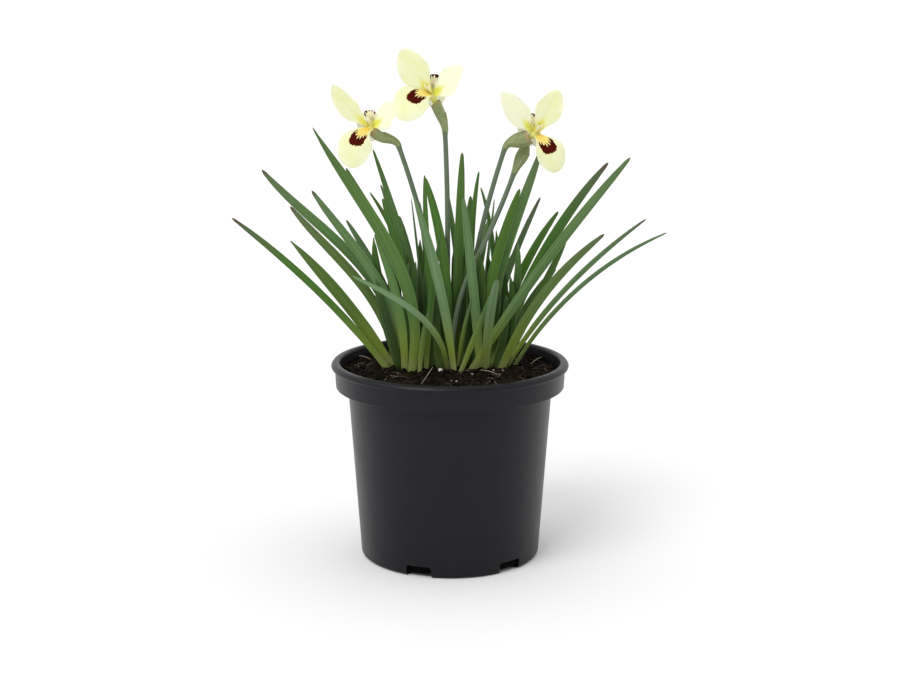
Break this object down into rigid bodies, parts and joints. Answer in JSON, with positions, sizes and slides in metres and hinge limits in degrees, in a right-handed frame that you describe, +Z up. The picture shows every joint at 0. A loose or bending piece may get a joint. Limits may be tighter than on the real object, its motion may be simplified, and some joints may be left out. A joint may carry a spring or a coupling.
{
  "type": "potted yellow iris plant",
  "caption": "Clump-forming iris in a black nursery pot: a fan of narrow strap leaves, pale yellow dark-blotched flowers on slim stems and a closed bud.",
  "frame": {"origin": "middle of the pot's flat underside", "axes": "+Z up along the pot's axis, the flowers' open faces and the viewing side towards -Y, +X to the right of that side"},
  "size_m": [0.339, 0.197, 0.4042],
  "materials": {
    "pot_plastic": "matte black moulded plastic with a faint sheen",
    "soil": "damp dark peat with brown fibres and a few white grains",
    "leaf": "satin green leaf with fine lengthwise veins",
    "stem": "smooth grey-green stem",
    "spathe": "pale green bracts with dry tan edges",
    "tepal": "soft matte pale yellow petals with maroon blotches"
  },
  "bodies": {
    "root": {"pot": "pot_plastic", "soil": "soil", "leaf_01": "leaf", "leaf_02": "leaf", "leaf_03": "leaf", "leaf_04": "leaf", "leaf_05": "leaf", "leaf_06": "leaf", "leaf_07": "leaf", "leaf_08": "leaf", "leaf_09": "leaf", "leaf_10": "leaf", "leaf_11": "leaf", "leaf_12": "leaf", "leaf_13": "leaf", "leaf_14": "leaf", "leaf_15": "leaf", "leaf_16": "leaf", "leaf_17": "leaf", "leaf_18": "leaf", "leaf_19": "leaf", "leaf_20": "leaf", "leaf_21": "leaf", "leaf_22": "leaf", "leaf_23": "leaf", "leaf_24": "leaf", "leaf_25": "leaf", "leaf_26": "leaf", "leaf_27": "leaf", "leaf_28": "leaf", "leaf_29": "leaf", "leaf_30": "leaf", "leaf_31": "leaf", "leaf_32": "leaf", "leaf_33": "leaf", "leaf_34": "leaf", "leaf_35": "leaf", "leaf_36": "leaf", "leaf_37": "leaf", "leaf_38": "leaf", "leaf_39": "leaf", "leaf_40": "leaf", "leaf_41": "leaf", "leaf_42": "leaf", "leaf_43": "leaf", "leaf_44": "leaf", "leaf_45": "leaf", "leaf_46": "leaf", "leaf_47": "leaf", "stem_left": "stem", "stem_middle": "stem", "stem_right": "stem", "stem_bud": "stem", "spathe_left": "spathe", "spathe_middle": "spathe", "spathe_right": "spathe", "spathe_bud": "spathe", "flower_left": "tepal", "flower_middle": "tepal", "flower_right": "tepal"}
  },
  "joints": []
}
